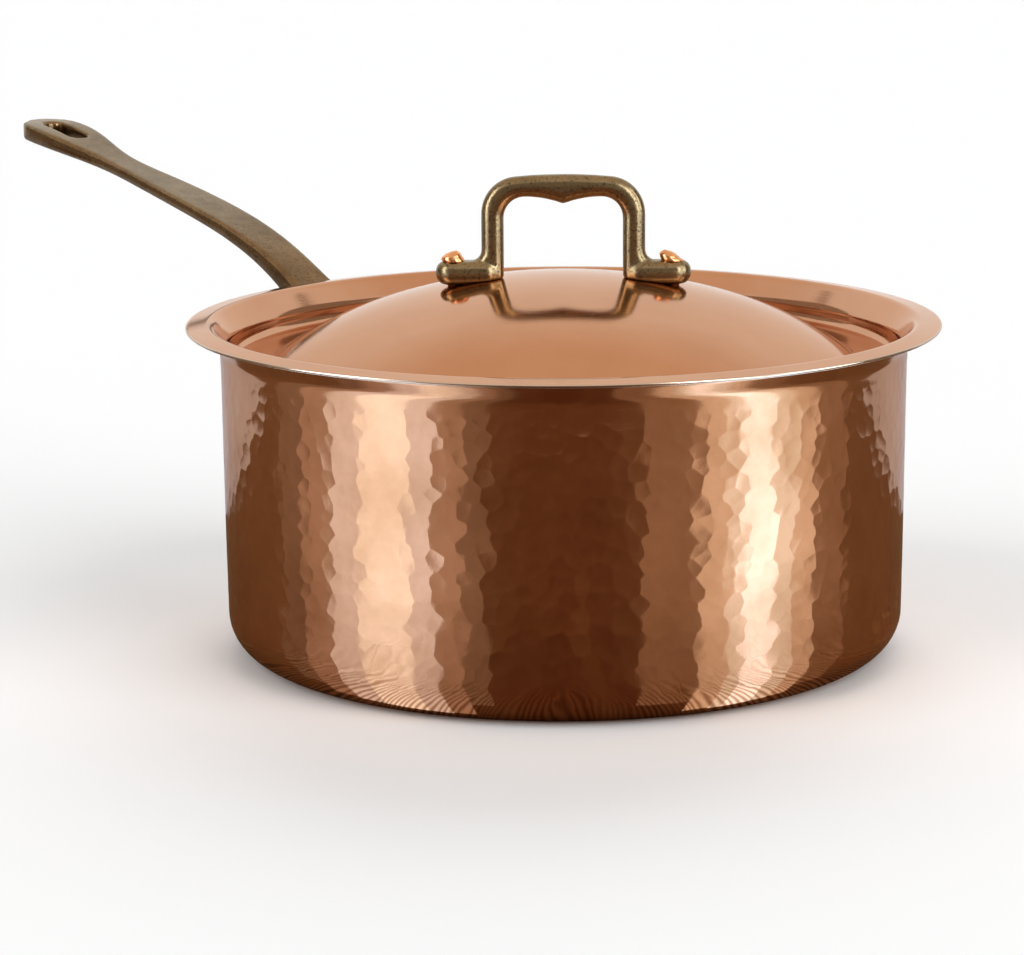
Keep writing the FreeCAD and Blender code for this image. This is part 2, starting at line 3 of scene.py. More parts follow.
import bmesh
import bpy
from mathutils import Euler, Matrix, Vector, noise


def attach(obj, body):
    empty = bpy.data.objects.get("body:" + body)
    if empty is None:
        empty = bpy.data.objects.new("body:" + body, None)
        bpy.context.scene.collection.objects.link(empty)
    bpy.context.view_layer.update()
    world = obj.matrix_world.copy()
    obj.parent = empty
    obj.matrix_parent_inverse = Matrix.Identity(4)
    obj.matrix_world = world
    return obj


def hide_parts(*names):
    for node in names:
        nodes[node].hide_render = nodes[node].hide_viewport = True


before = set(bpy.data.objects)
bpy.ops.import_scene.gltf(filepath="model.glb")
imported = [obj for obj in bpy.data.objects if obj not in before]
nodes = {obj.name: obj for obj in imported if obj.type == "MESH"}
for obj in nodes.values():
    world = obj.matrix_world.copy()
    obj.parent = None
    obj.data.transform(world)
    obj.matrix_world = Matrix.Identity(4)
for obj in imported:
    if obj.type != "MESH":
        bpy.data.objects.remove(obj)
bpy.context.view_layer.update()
MM = 0.001

# The camera. The photograph looks down on the pan by less than 12 degrees, from five pan widths away,
# with the long handle pointing back and to the left.

camera_distance = 1177.3 * MM
camera_height = 302.2 * MM
camera_side = math.radians(137)
camera_dip = math.radians(11.65)
camera_lean = -0.0043
camera_data = bpy.data.cameras.new("camera")
camera_data.sensor_width = 36
camera_data.lens = 119.53
camera_data.shift_x = -0.0511
camera = bpy.data.objects.new("camera", camera_data)
bpy.context.scene.collection.objects.link(camera)
camera.location = (camera_distance * math.cos(camera_side), camera_distance * math.sin(camera_side),
                   camera_height)
facing = Euler((math.pi / 2 - camera_dip, 0, camera_side + math.pi / 2)).to_matrix().to_4x4()
camera.matrix_world = Matrix.Translation(camera.location) @ facing @ Matrix.Rotation(camera_lean, 4, "Z")
bpy.context.scene.camera = camera

# The pan's copper sheet: raised and planished by hand, so its wall is covered with shallow hammer marks.
# It is 1.2 mm thick, has a rolled bend above the flat base, and a short smooth lip that leans out.

pan_radius, pan_foot, pan_wall_top = 120 * MM, 119.2 * MM, 108.3 * MM
pan_bend = 15 * MM
pan_sheet = 1.2 * MM
lip_out, lip_up = 4.6 * MM, 6.3 * MM
lip_way = Vector((lip_out, lip_up)).normalized()
lip_side = Vector((-lip_way.y, lip_way.x))
crease = 1.25 * MM
mark_pitch, mark_depth, mark_reach = 7.0 * MM, 0.10 * MM, 0.62
wave_pitch, wave_depth = 38 * MM, 0.12 * MM
marks_foot, marks_top = 1 * MM, pan_wall_top - 3.5 * MM
foot_fade, top_fade = 6 * MM, 2 * MM
wall_skin, bend_skin = 0.4 * MM, 0.6 * MM
dents_per_metre, dent_depth = 195.0, 0.20 * MM


def draw_section(mesh, start, runs):
    """Draws a sheet's cut edge in the plane y = 0, from runs of (x, z, steps, kind).

    A straight run is pushed along. A round one is spun, and carries on smoothly from the run before it."""
    pen = mesh.verts.new((start[0], 0, start[1]))
    heading = Vector((1, 0, 0))
    across = Vector((0, 1, 0))
    for x, z, steps, kind in runs:
        way = Vector((x, 0, z)) - pen.co
        if kind == "straight":
            made = bmesh.ops.spin(mesh, geom=[pen], cent=pen.co, axis=across, dvec=way / steps, angle=0,
                                  steps=steps)
            heading = way.normalized()
        else:
            side = heading.cross(across)
            centre = pen.co + side * (way.length_squared / (2 * side.dot(way)))
            arm, hand = pen.co - centre, pen.co + way - centre
            turn = arm.angle(hand)
            if across.cross(arm).dot(heading) < 0:
                turn = -turn
            made = bmesh.ops.spin(mesh, geom=[pen], cent=centre, axis=across, angle=turn, steps=steps)
            heading = across.cross(hand).normalized() * math.copysign(1, turn)
        pen = [v for v in made["geom_last"] if isinstance(v, bmesh.types.BMVert)][0]


def spin_section(mesh, steps):
    """Spins the drawn section about the pan's axis, one wedge first and then its copies, and closes it."""
    wedges = 8
    bmesh.ops.spin(mesh, geom=mesh.verts[:] + mesh.edges[:], cent=(0, 0, 0), axis=(0, 0, 1),
                   angle=2 * math.pi / wedges, steps=steps // wedges)
    bmesh.ops.spin(mesh, geom=mesh.verts[:] + mesh.edges[:] + mesh.faces[:], cent=(0, 0, 0), axis=(0, 0, 1),
                   angle=2 * math.pi * (wedges - 1) / wedges, steps=wedges - 1, use_duplicate=True)
    bmesh.ops.remove_doubles(mesh, verts=mesh.verts[:], dist=0.01 * MM)
    bmesh.ops.recalc_face_normals(mesh, faces=mesh.faces[:])


def backwards(start, runs):
    """The same runs, drawn from their far end back to their start."""
    places = [start] + [run[:2] for run in runs]
    return [(*place, steps, kind) for place, (_, _, steps, kind) in zip(places[-2::-1], reversed(runs))]


def turn_sheet(outer, inner, rim_steps, rim_kind, steps):
    """A sheet between two faces, each a start and its runs, joined at the rim and spun about the pan's axis."""
    mesh = bmesh.new()
    rim = (*inner[1][-1][:2], rim_steps, rim_kind)
    draw_section(mesh, outer[0], outer[1] + [rim] + backwards(*inner))
    spin_section(mesh, steps)
    return mesh


def pan_face(depth, bend_steps, wall_steps):
    """The pan's profile at a depth under its outer face.

    It runs from the middle of the base to just short of the lip's edge."""
    corner = Vector((pan_radius - depth, pan_wall_top + depth * lip_way.x / (1 + lip_way.y)))
    after = corner + lip_way * crease
    edge = Vector((pan_radius + lip_out, pan_wall_top + lip_up)) + lip_side * depth - lip_way * pan_sheet / 2
    return (0, depth), [
        (pan_foot - pan_bend, depth, 3, "straight"),
        (pan_foot - depth, pan_bend, bend_steps, "round"),
        (corner.x, corner.y - crease, wall_steps, "straight"),
        (after.x, after.y, 3, "round"),
        (edge.x, edge.y, 4, "straight"),
    ]


def make_piece(name, mesh, material, body, replaced):
    """Turns a finished bmesh into a smooth-shaded piece that stands for a CAD node."""
    data = bpy.data.meshes.new(name)
    mesh.to_mesh(data)
    mesh.free()
    data.shade_smooth()
    data.materials.append(material)
    piece = bpy.data.objects.new(name, data)
    bpy.context.scene.collection.objects.link(piece)
    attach(piece, body)
    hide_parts(replaced)


def new_group(name, inputs, outputs):
    """An empty shader node group with named sockets, and its two ends."""
    group = bpy.data.node_groups.new(name, "ShaderNodeTree")
    for kind, label in inputs:
        group.interface.new_socket(name=label, in_out="INPUT", socket_type="NodeSocket" + kind)
    for kind, label in outputs:
        group.interface.new_socket(name=label, in_out="OUTPUT", socket_type="NodeSocket" + kind)
    return group, group.nodes.new("NodeGroupInput"), group.nodes.new("NodeGroupOutput")


def feed(tree, socket, value):
    """Sets a socket to a number or a colour, or links it to the socket that feeds it."""
    if isinstance(value, (int, float, tuple)):
        socket.default_value = value
    else:
        tree.links.new(value, socket)


def math_node(tree, operation, *values):
    """A math node. A value is a number or the socket that feeds it."""
    node = tree.nodes.new("ShaderNodeMath")
    node.operation = operation
    for socket, value in zip(node.inputs, values):
        feed(tree, socket, value)
    return node.outputs[0]


def spread(tree, value, low, high, new_low=0.0, new_high=1.0):
    """Stretches a value from one range to another and holds it there."""
    node = tree.nodes.new("ShaderNodeMapRange")
    for socket, number in zip(node.inputs[1:5], (low, high, new_low, new_high)):
        socket.default_value = number
    tree.links.new(value, node.inputs[0])
    return node.outputs[0]


def noise_node(tree, vector, scale, detail=3.0, roughness=0.55):
    """A cloudy value. Its scale is in clouds per metre."""
    node = tree.nodes.new("ShaderNodeTexNoise")
    for label, value in (("Vector", vector), ("Scale", scale), ("Detail", detail), ("Roughness", roughness)):
        feed(tree, node.inputs[label], value)
    return node.outputs["Fac"]


def join_values(tree, *values):
    """A vector of three values, each a number or a socket."""
    node = tree.nodes.new("ShaderNodeCombineXYZ")
    for socket, value in zip(node.inputs, values):
        feed(tree, socket, value)
    return node.outputs[0]


def mix_colours(tree, mask, low, high):
    """The low colour where the mask is 0 and the high one where it is 1."""
    node = tree.nodes.new("ShaderNodeMix")
    node.data_type = "RGBA"
    tree.links.new(mask, node.inputs["Factor"])
    feed(tree, node.inputs["A"], low)
    feed(tree, node.inputs["B"], high)
    return node.outputs["Result"]


def turned_group():
    """A point's radius and height on a turned sheet, and the fine lines that the lathe left there."""
    group, start, end = new_group("turned_lines", [("Float", "Lines per metre"), ("Float", "Streak length")],
                                  [("Float", "Radius"), ("Float", "Height"), ("Float", "Lines")])
    place = group.nodes.new("ShaderNodeTexCoord").outputs["Object"]
    split = group.nodes.new("ShaderNodeSeparateXYZ")
    group.links.new(place, split.inputs[0])
    x, y, z = split.outputs
    squares = [math_node(group, "MULTIPLY", value, value) for value in (x, y)]
    radius = math_node(group, "SQRT", math_node(group, "ADD", *squares))
    slope = [math_node(group, "MULTIPLY", value, start.outputs["Lines per metre"]) for value in (radius, z)]
    streaks = [math_node(group, "DIVIDE", value, start.outputs["Streak length"]) for value in (x, y)]
    lines = noise_node(group, join_values(group, *streaks, math_node(group, "ADD", *slope)), 1.0, 2.0)
    group.links.new(radius, end.inputs["Radius"])
    group.links.new(z, end.inputs["Height"])
    group.links.new(lines, end.inputs["Lines"])
    return group


def tarnish_group():
    """Uneven colour and gloss of handled metal, in clean patches and dull ones."""
    group, start, end = new_group(
        "tarnish",
        [("Color", "Clean"), ("Color", "Dull"), ("Float", "Patch scale"), ("Float", "Amount"),
         ("Float", "Clean roughness"), ("Float", "Dull roughness")],
        [("Color", "Color"), ("Float", "Roughness")])
    place = group.nodes.new("ShaderNodeTexCoord").outputs["Object"]
    patches = spread(group, noise_node(group, place, start.outputs["Patch scale"], 5.0, 0.62), 0.36, 0.68)
    mask = math_node(group, "MULTIPLY", patches, start.outputs["Amount"])
    group.links.new(mix_colours(group, mask, start.outputs["Clean"], start.outputs["Dull"]), end.inputs["Color"])
    rough = math_node(group, "SUBTRACT", start.outputs["Dull roughness"], start.outputs["Clean roughness"])
    rough = math_node(group, "ADD", start.outputs["Clean roughness"], math_node(group, "MULTIPLY", mask, rough))
    group.links.new(rough, end.inputs["Roughness"])
    return group


turned = turned_group()
tarnish = tarnish_group()


def place_group(tree, group, **values):
    """Puts a group into a material with its own values. Underscores stand for spaces."""
    node = tree.nodes.new("ShaderNodeGroup")
    node.node_tree = group
    for name, value in values.items():
        node.inputs[name.replace("_", " ")].default_value = value
    return node


def metal(name, edge_tint, **wear):
    """A tarnished metal with its shader's own fixed sockets set.

    Returns the material, its tree, its shader and the tarnished colour."""
    material = bpy.data.materials.new(name)
    material.use_nodes = True
    tree = material.node_tree
    shader = tree.nodes["Principled BSDF"]
    shader.inputs["Metallic"].default_value = 1.0
    shader.inputs["Specular Tint"].default_value = edge_tint
    worn = place_group(tree, tarnish, **wear)
    tree.links.new(worn.outputs["Color"], shader.inputs["Base Color"])
    tree.links.new(worn.outputs["Roughness"], shader.inputs["Roughness"])
    return material, tree, shader, worn.outputs["Color"]


def raise_bump(tree, shader, height, distance):
    """Feeds a height, in parts of the distance, to the shader's normal."""
    bump = tree.nodes.new("ShaderNodeBump")
    bump.inputs["Distance"].default_value = distance
    tree.links.new(height, bump.inputs["Height"])
    tree.links.new(bump.outputs["Normal"], shader.inputs["Normal"])


def hammered_copper():
    """Planished copper, warm and browned in patches, with small dents side by side and lathe lines at its foot."""
    material, tree, shader, _ = metal(
        "hammered_copper", (0.95, 0.82, 0.72, 1), Clean=(0.70, 0.40, 0.245, 1), Dull=(0.50, 0.26, 0.135, 1),
        Patch_scale=30.0, Amount=0.8, Clean_roughness=0.10, Dull_roughness=0.17)
    place = tree.nodes.new("ShaderNodeTexCoord").outputs["Object"]
    rings = place_group(tree, turned, Lines_per_metre=620.0, Streak_length=0.045)
    height = rings.outputs["Height"]
    at_foot = spread(tree, height, 0.034, 0.010, 0.0, 0.05)
    grooves = math_node(tree, "MULTIPLY", rings.outputs["Lines"], at_foot)
    cells = tree.nodes.new("ShaderNodeTexVoronoi")
    cells.feature = "SMOOTH_F1"
    cells.inputs["Scale"].default_value = dents_per_metre
    cells.inputs["Smoothness"].default_value = 0.25
    tree.links.new(place, cells.inputs["Vector"])
    dents = math_node(tree, "MULTIPLY", cells.outputs["Distance"], cells.outputs["Distance"])
    for smooth, dented in ((0.106, 0.102), (0.004, 0.016)):
        dents = math_node(tree, "MULTIPLY", dents, spread(tree, height, smooth, dented))
    grain = math_node(tree, "MULTIPLY", noise_node(tree, place, 900.0, 2.0), 0.03)
    relief = math_node(tree, "ADD", math_node(tree, "ADD", dents, grooves), grain)
    raise_bump(tree, shader, relief, dent_depth)
    return material


def hammer(mesh):
    """Sinks hammer marks and a slow ripple into the outer side of the wall and bend.

    The lip and the base stay smooth."""
    for vertex in mesh.verts:
        point = vertex.co
        radius = math.hypot(point.x, point.y)
        outer = radius > pan_foot - wall_skin
        if point.z < pan_bend:
            beyond = radius - (pan_foot - pan_bend)
            outer = beyond > 0 and math.hypot(beyond, point.z - pan_bend) > pan_bend - bend_skin
        fade = min(1, (marks_top - point.z) / top_fade, (point.z - marks_foot) / foot_fade)
        if not outer or fade <= 0:
            continue
        near = noise.voronoi(point / mark_pitch, distance_metric="DISTANCE_SQUARED")[0][0]
        wave = noise.noise(point / wave_pitch) * wave_depth
        depth = fade * (mark_depth * max(0, mark_reach - near) + wave + wave_depth / 2)
        inward = Vector((-point.x, -point.y, 0)) / radius
        if point.z < pan_bend:
            inward = inward * max(0, point.z / pan_bend)
        vertex.co = point + inward * depth


pan = turn_sheet(pan_face(0, 13, 82), pan_face(pan_sheet, 4, 2), 4, "round", 720)
hammer(pan)
make_piece("pan_sheet", pan, hammered_copper(), "pan", "pot_body")

# The pan's tin: wiped on hot inside the copper, so it follows the same shape and shows the strokes of the cloth.
# It is a thin layer up to the lip's edge.

tin_layer = 0.2 * MM


def wiped_tin(name):
    """Soft grey tin with cloudy strokes from wiping, slightly yellow where it was hot."""
    material, tree, shader, _ = metal(
        name, (0.95, 0.95, 0.94, 1), Clean=(0.72, 0.71, 0.69, 1), Dull=(0.55, 0.53, 0.48, 1),
        Patch_scale=22.0, Amount=0.7, Clean_roughness=0.24, Dull_roughness=0.42)
    strokes = place_group(tree, turned, Lines_per_metre=450.0, Streak_length=0.03)
    raise_bump(tree, shader, strokes.outputs["Lines"], 0.05 * MM)
    return material


pan_tin = turn_sheet(pan_face(pan_sheet, 6, 3), pan_face(pan_sheet + tin_layer, 12, 12), 1, "straight", 240)
make_piece("pan_tin", pan_tin, wiped_tin("pan_tin"), "pan", "pot_lining")

# The lid's copper sheet: spun on a lathe, 1 mm thick, with a low dome, a ring groove that drops into the pan
# and a flat flange that rests on the lip. It is polished, and the lathe's fine lines still show.

lid_radius, lid_sheet = 131.8 * MM, 1.0 * MM
lid_floor, dome_top = 103.3 * MM, 131.8 * MM
plug_radius, plug_bend = 117.1 * MM, 3 * MM
lid_room = 2.9 * MM
neck_lean = math.degrees(math.atan2(lip_up, -lip_out)) - 180
flange_lean = 7.0


def lid_face(depth, steps):
    """The lid's profile at a depth under its upper face.

    It runs from the middle of the dome to just short of the flange's edge. Each place on the upper face has
    the lean of the face there, outwards from straight up."""
    corner = Vector((plug_radius + depth, pan_wall_top + (lid_room - depth) * lip_way.x / (1 + lip_way.y)))
    edge_back = lid_sheet / 2 * math.cos(math.radians(flange_lean))
    upper = (
        (60 * MM, 123.4 * MM, 15.94, "round"),  # the dome's knee
        (101.5 * MM, 103.9 * MM, 34.40, "round"),  # the dome's foot
        (103.44 * MM, lid_floor, 0, "round"),
        (plug_radius - plug_bend, lid_floor, 0, "straight"),  # the groove's floor
        (plug_radius, lid_floor + plug_bend, -90, "round"),
        (corner.x, corner.y, None, "straight"),  # where the neck starts to lean out
        (121.74 * MM, 115.61 * MM, neck_lean, "straight"),  # the neck's top
        (124.71 * MM, 116.90 * MM, flange_lean, "round"),
        (lid_radius - edge_back, 116.09 * MM, flange_lean, "straight"),  # the flange
    )
    runs = []
    for (radius, height, lean, kind), count in zip(upper, steps):
        if lean is not None:
            radius -= depth * math.sin(math.radians(lean))
            height -= depth * math.cos(math.radians(lean))
        runs.append((radius, height, count, kind))
    return (0, dome_top - depth), runs


def turned_copper():
    """Polished copper with fine lathe lines, so that it mirrors softly across them. Its cut edge is paler."""
    material, tree, shader, worn = metal(
        "turned_copper", (0.95, 0.82, 0.72, 1), Clean=(0.61, 0.335, 0.205, 1), Dull=(0.53, 0.27, 0.155, 1),
        Patch_scale=16.0, Amount=0.7, Clean_roughness=0.09, Dull_roughness=0.15)
    lines = place_group(tree, turned, Lines_per_metre=2600.0, Streak_length=0.05)
    edge = spread(tree, lines.outputs["Radius"], lid_radius - 0.7 * MM, lid_radius - 0.4 * MM)
    tree.links.new(mix_colours(tree, edge, worn, (0.62, 0.50, 0.41, 1)), shader.inputs["Base Color"])
    raise_bump(tree, shader, lines.outputs["Lines"], 0.012 * MM)
    return material


upper_steps = (40, 34, 6, 6, 8, 2, 5, 8, 8)
under_steps = (14, 14, 4, 3, 6, 2, 3, 5, 3)
lid = turn_sheet(lid_face(0, upper_steps), lid_face(lid_sheet, under_steps), 6, "round", 288)
make_piece("lid_sheet", lid, turned_copper(), "lid", "lid_body")

# The lid's tin: wiped on under the copper, as thin as the pan's. It follows the lid's profile
# from the middle of the dome to the flange's edge.

lid_tin = turn_sheet(lid_face(lid_sheet, under_steps), lid_face(lid_sheet + tin_layer, upper_steps),
                     1, "straight", 240)
make_piece("lid_tin", lid_tin, wiped_tin("lid_tin"), "lid", "lid_lining")

# The long handle: cast in bronze, filed along its edges, with a plate that follows the wall
# and a rounded end with an eye to hang it by.


def cast_bronze(name, clean, dull, pit, grain_height):
    """Cast bronze in brighter and duller patches, with a fine sand grain and dark pits."""
    material, tree, shader, worn = metal(
        name, (0.9, 0.88, 0.82, 1), Clean=clean, Dull=dull, Patch_scale=70.0, Amount=0.9,
        Clean_roughness=0.18, Dull_roughness=0.28)
    place = tree.nodes.new("ShaderNodeTexCoord").outputs["Object"]
    grain = noise_node(tree, place, 1100.0, 3.0, 0.7)
    pits = spread(tree, grain, 0.46, 0.34)
    tree.links.new(mix_colours(tree, pits, worn, pit), shader.inputs["Base Color"])
    raise_bump(tree, shader, grain, grain_height)
    return material


def soften_casting(name, node, cell, rounds, swell, material):
    """Rebuilds a casting's CAD solid as one even skin of cells.

    Rounds of smoothing soften its edges and inner corners, as casting leaves them, and a swell along
    the normals makes up for what smoothing takes away."""
    data = nodes[node].data.copy()
    mesh = bmesh.new()
    mesh.from_mesh(data)
    bmesh.ops.remove_doubles(mesh, verts=mesh.verts[:], dist=0.001 * MM)
    mesh.to_mesh(data)
    mesh.free()
    rough = bpy.data.objects.new(name + "_rough", data)
    bpy.context.scene.collection.objects.link(rough)
    remesh = rough.modifiers.new("skin", "REMESH")
    remesh.mode = "VOXEL"
    remesh.voxel_size = cell
    smooth = rough.modifiers.new("smooth", "SMOOTH")
    smooth.factor = 0.5
    smooth.iterations = rounds
    bpy.context.view_layer.update()
    depsgraph = bpy.context.evaluated_depsgraph_get()
    solid = bpy.data.meshes.new_from_object(rough.evaluated_get(depsgraph))
    bpy.data.objects.remove(rough)
    mesh = bmesh.new()
    mesh.from_mesh(solid)
    for vertex in mesh.verts:
        vertex.co += vertex.normal * swell
    make_piece(name, mesh, material, "lid" if node.startswith("lid") else "pan", node)


handle_bronze = cast_bronze("handle_bronze", clean=(0.26, 0.172, 0.092, 1), dull=(0.15, 0.095, 0.048, 1),
                            pit=(0.08, 0.05, 0.025, 1), grain_height=0.03 * MM)
soften_casting("long_handle", "pot_handle", cell=0.5 * MM, rounds=26, swell=0.1 * MM, material=handle_bronze)

# The lid's handle: a small bronze casting, a round arch with a cusp under its middle and two feet on the dome.
# Its skin is coarser and yellower than the long handle's.

bridge_bronze = cast_bronze("bridge_bronze", clean=(0.31, 0.235, 0.13, 1), dull=(0.21, 0.155, 0.085, 1),
                            pit=(0.07, 0.05, 0.03, 1), grain_height=0.07 * MM)
soften_casting("bridge_handle", "lid_handle", cell=0.4 * MM, rounds=28, swell=0.25 * MM, material=bridge_bronze)

# The rivets: copper, hammered tight over the castings, so each head is a slightly different low mushroom.
# Three hold the long handle's plate to the wall, and one holds each foot of the lid's handle.


# A head's profile in parts of its radius and its rise, with the steps up to each place.
head_shape = ((1, 0.2, 2), (0.86, 0.62, 4), (0.5, 0.93, 5), (0, 1, 4))
lump_size, lump_height, lump_shift = 3.2 * MM, 0.05 * MM, 800


def rivet_copper():
    """Bright new copper, rougher than the sheet, with small hammer flats."""
    material, tree, shader, _ = metal(
        "rivet_copper", (0.95, 0.80, 0.68, 1), Clean=(0.88, 0.45, 0.22, 1), Dull=(0.50, 0.22, 0.10, 1),
        Patch_scale=240.0, Amount=0.5, Clean_roughness=0.16, Dull_roughness=0.30)
    place = tree.nodes.new("ShaderNodeTexCoord").outputs["Object"]
    raise_bump(tree, shader, noise_node(tree, place, 420.0, 2.0), 0.06 * MM)
    return material


def make_rivet(node, shank, head, head_rise, tail, tail_rise, grip, foot, way, out, slide, tilt):
    """One rivet along its own Z from its tail's seat, then turned to point along way and set at foot.

    Its head slides and tilts along out, as an uneven hammer blow leaves it."""
    mesh = bmesh.new()
    draw_section(mesh, (0, -tail_rise), [
        (tail * 0.8, -tail_rise, 3, "straight"),
        (tail, -tail_rise / 2, 2, "straight"),
        (tail, 0, 1, "straight"),
        (shank, 0, 1, "straight"),
        (shank, grip, 2, "straight"),
        (head, grip, 2, "straight"),
        *((head * wide, grip + head_rise * high, steps, "straight") for wide, high, steps in head_shape),
    ])
    spin_section(mesh, 40)
    for vertex in mesh.verts:
        if vertex.co.z > grip + 0.1 * MM:
            lump = noise.noise(vertex.co / lump_size + Vector(foot) * lump_shift)
            vertex.co += vertex.co.normalized() * lump * lump_height
            share = (vertex.co.z - grip) / head_rise
            lean = Vector((0, 0, vertex.co.dot(out) * tilt * share))
            vertex.co += out * slide * min(1, 2 * share) + lean
    turn = Vector((0, 0, 1)).rotation_difference(Vector(way)).to_matrix().to_4x4()
    bmesh.ops.transform(mesh, matrix=Matrix.Translation(foot) @ turn, verts=mesh.verts[:])
    body = "lid" if node.startswith("lid") else "pan"
    make_piece(node.replace("pot", "wall") + "_head", mesh, rivet_material, body, node)


rivet_material = rivet_copper()
plate_face = 124.05 * MM
wall_rivet = {"shank": 3.5 * MM, "head": 6.5 * MM, "head_rise": 3.2 * MM, "tail": 6.0 * MM, "tail_rise": 2.0 * MM}
wall_rivets = (  # each with its height, its angle about the pan's axis and the radius of its tail's seat
    ("pot_rivet_upper_left", 96.0 * MM, 10.565, 118.32 * MM),
    ("pot_rivet_upper_right", 96.0 * MM, -10.565, 118.32 * MM),
    ("pot_rivet_lower", 71.0 * MM, 0.0, 118.08 * MM),
)
for node, height, side, seat in wall_rivets:
    way = Vector((math.cos(math.radians(side)), math.sin(math.radians(side)), 0))
    make_rivet(node, **wall_rivet, grip=plate_face - seat, foot=way * seat + Vector((0, 0, height)), way=way,
               out=Vector((0, 1, 0)), slide=0.2 * MM, tilt=0.1)

lid_turn = math.radians(47)
lid_seat, foot_top, foot_reach = 126.34 * MM, 136.7 * MM, 38.2 * MM
lid_rivet = {"shank": 2.4 * MM, "head": 3.9 * MM, "head_rise": 3.4 * MM, "tail": 4.6 * MM, "tail_rise": 1.4 * MM}
for node, side, slide, tilt in (("lid_rivet_left", -1, -1.2 * MM, -0.35), ("lid_rivet_right", 1, 0.9 * MM, -0.3)):
    out = Vector((side * math.cos(lid_turn), side * math.sin(lid_turn), 0))
    make_rivet(node, **lid_rivet, grip=foot_top - lid_seat, foot=out * foot_reach + Vector((0, 0, lid_seat)),
               way=(0, 0, 1), out=out, slide=slide, tilt=tilt)

# The studio: a pale floor in a white surround, with three wide soft lights that give the pan a shadow all round.
# The copper mirrors a wooden table, a dim room, bright panels, lamps and a ceiling. Only gloss sees those.


def stage_material(name, colour):
    """A matt finish without any gloss."""
    material = bpy.data.materials.new(name)
    material.use_nodes = True
    shader = material.node_tree.nodes["Principled BSDF"]
    shader.inputs["Base Color"].default_value = colour
    shader.inputs["Roughness"].default_value = 0.9
    shader.inputs["Specular IOR Level"].default_value = 0.0
    return material


def stage_piece(name, mesh, material, mirrored_only=True):
    """Turns a finished bmesh into a part of the surroundings, which as a rule shows in gloss only."""
    data = bpy.data.meshes.new(name)
    mesh.to_mesh(data)
    mesh.free()
    data.materials.append(material)
    piece = bpy.data.objects.new(name, data)
    bpy.context.scene.collection.objects.link(piece)
    if mirrored_only:
        piece.visible_camera = False
        piece.visible_diffuse = False
        piece.visible_shadow = False
        piece.visible_transmission = False


def around(side, distance, height):
    """A place at an angle from the camera's side of the pan, in degrees to the right."""
    angle = camera_side + math.radians(side)
    return Vector((distance * math.cos(angle), distance * math.sin(angle), height))


def table_grain_group():
    """Wood that runs towards the camera: its grain, its boards, and how far a place is off that direction."""
    group, start, end = new_group("table_grain", [("Float", "Line width")],
                                  [("Float", "Grain"), ("Float", "Aside"), ("Float", "Boards")])
    place = group.nodes.new("ShaderNodeTexCoord").outputs["Object"]
    turn = group.nodes.new("ShaderNodeMapping")
    turn.inputs["Rotation"].default_value = (0, 0, -camera_side)
    group.links.new(place, turn.inputs["Vector"])
    split = group.nodes.new("ShaderNodeSeparateXYZ")
    group.links.new(turn.outputs["Vector"], split.inputs[0])
    along, across, _ = split.outputs
    wide = join_values(group, math_node(group, "MULTIPLY", along, 0.22), across, 0.0)
    sway = math_node(group, "MULTIPLY", noise_node(group, wide, 26.0, 2.0), 0.030)
    fine = math_node(group, "MULTIPLY", noise_node(group, wide, 160.0, 2.0), 0.004)
    line = math_node(group, "ADD", math_node(group, "ADD", across, sway), fine)
    line = math_node(group, "DIVIDE", line, start.outputs["Line width"])
    wave = math_node(group, "SINE", math_node(group, "MULTIPLY", line, 2 * math.pi))
    group.links.new(spread(group, wave, -0.9, 0.9), end.inputs["Grain"])
    ahead = math_node(group, "MAXIMUM", along, 0.01)
    aside = math_node(group, "DIVIDE", math_node(group, "ABSOLUTE", across), ahead)
    group.links.new(aside, end.inputs["Aside"])
    strip = join_values(group, math_node(group, "MULTIPLY", along, 0.03), across, 7.0)
    group.links.new(noise_node(group, strip, 60.0, 3.0), end.inputs["Boards"])
    return group


table_grain = table_grain_group()
grain_width, grain_dim = 2.3 * MM, (0.45, 0.34, 0.28)


def wooden_table():
    """Wood with painted light: paler and browner to both sides, as a painted sheen from the lamps, and darker and
    redder towards the camera, as painted shade, with boards of their own colour.
    """
    material = stage_material("wooden_table", (1, 1, 1, 1))
    tree = material.node_tree
    shader = tree.nodes["Principled BSDF"]
    grain = place_group(tree, table_grain, Line_width=grain_width)
    lines = grain.outputs["Grain"]
    # Painted light: the first pair of colours is the wood with a painted sheen from the lamps, the second the same
    # wood darkened by painted shade towards the camera.
    lit_wood = mix_colours(tree, lines, (0.30, 0.18, 0.095, 1), (0.09, 0.05, 0.028, 1))
    shaded_wood = mix_colours(tree, lines, (0.17, 0.075, 0.035, 1), (0.09, 0.035, 0.016, 1))
    wood = mix_colours(tree, spread(tree, grain.outputs["Aside"], 0.18, 0.55), shaded_wood, lit_wood)
    boards = spread(tree, grain.outputs["Boards"], 0.45, 0.65, 0.0, 0.6)
    tree.links.new(mix_colours(tree, boards, wood, (0.20, 0.105, 0.05, 1)), shader.inputs["Base Color"])
    return material


def from_axis(tree):
    """How far a point is from the pan's axis."""
    return place_group(tree, turned, Lines_per_metre=1.0, Streak_length=1.0).outputs["Radius"]


def glow(name, strength):
    """A glowing finish. Returns the material, its tree and the socket for its colour."""
    material = bpy.data.materials.new(name)
    material.use_nodes = True
    tree = material.node_tree
    tree.nodes.remove(tree.nodes["Principled BSDF"])
    lamp = tree.nodes.new("ShaderNodeEmission")
    lamp.inputs["Strength"].default_value = strength
    tree.links.new(lamp.outputs[0], tree.nodes["Material Output"].inputs["Surface"])
    return material, tree, lamp.inputs["Color"]


